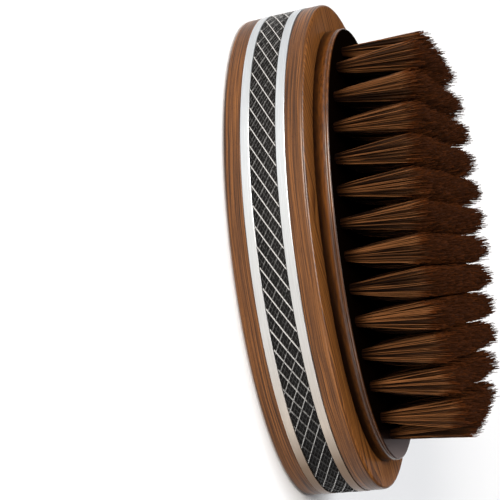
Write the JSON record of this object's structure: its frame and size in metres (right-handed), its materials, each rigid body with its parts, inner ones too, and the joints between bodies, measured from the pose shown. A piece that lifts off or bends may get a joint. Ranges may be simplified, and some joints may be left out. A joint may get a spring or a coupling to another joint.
{
  "type": "beard brush",
  "caption": "Oval palm-size beard brush: walnut slabs, brushed steel hoops, knurled grip band and boar bristle tufts on a lacquered base.",
  "frame": {"origin": "centre of the flat back face that the brush lies on", "axes": "+Z out of the back cap towards the bristle tips, +Y along the oval's length, +X across its width"},
  "size_m": [0.06, 0.12, 0.0472],
  "materials": {
    "oiled_walnut": "oiled walnut, satin",
    "beech_core": "plain beech, hidden",
    "beech_dowel": "fluted beech dowel, hidden",
    "brushed_stainless": "fine brushed stainless steel",
    "knurled_rubber": "moulded black rubber with a crossed-line grip pattern",
    "lacquered_base": "dark stained wood under gloss lacquer",
    "zinc_screw": "zinc plated, hidden",
    "anchor_wire": "flat brass wire, hidden",
    "boar_bristle": "dark brown boar bristle"
  },
  "bodies": {
    "root": {"back_cap": "oiled_walnut", "core_block": "beech_core", "back_steel_hoop": "brushed_stainless", "grip_hoop": "knurled_rubber", "front_steel_hoop": "brushed_stainless", "front_plate": "oiled_walnut", "bristle_base": "lacquered_base", "dowels": "beech_dowel", "clamp_screws": "zinc_screw", "tuft_anchors": "anchor_wire", "tuft_row_01": "boar_bristle", "tuft_row_02": "boar_bristle", "tuft_row_03": "boar_bristle", "tuft_row_04": "boar_bristle", "tuft_row_05": "boar_bristle", "tuft_row_06": "boar_bristle", "tuft_row_07": "boar_bristle", "tuft_row_08": "boar_bristle", "tuft_row_09": "boar_bristle", "tuft_row_10": "boar_bristle", "tuft_row_11": "boar_bristle", "tuft_row_12": "boar_bristle", "tuft_row_13": "boar_bristle", "tuft_row_14": "boar_bristle"}
  },
  "joints": []
}
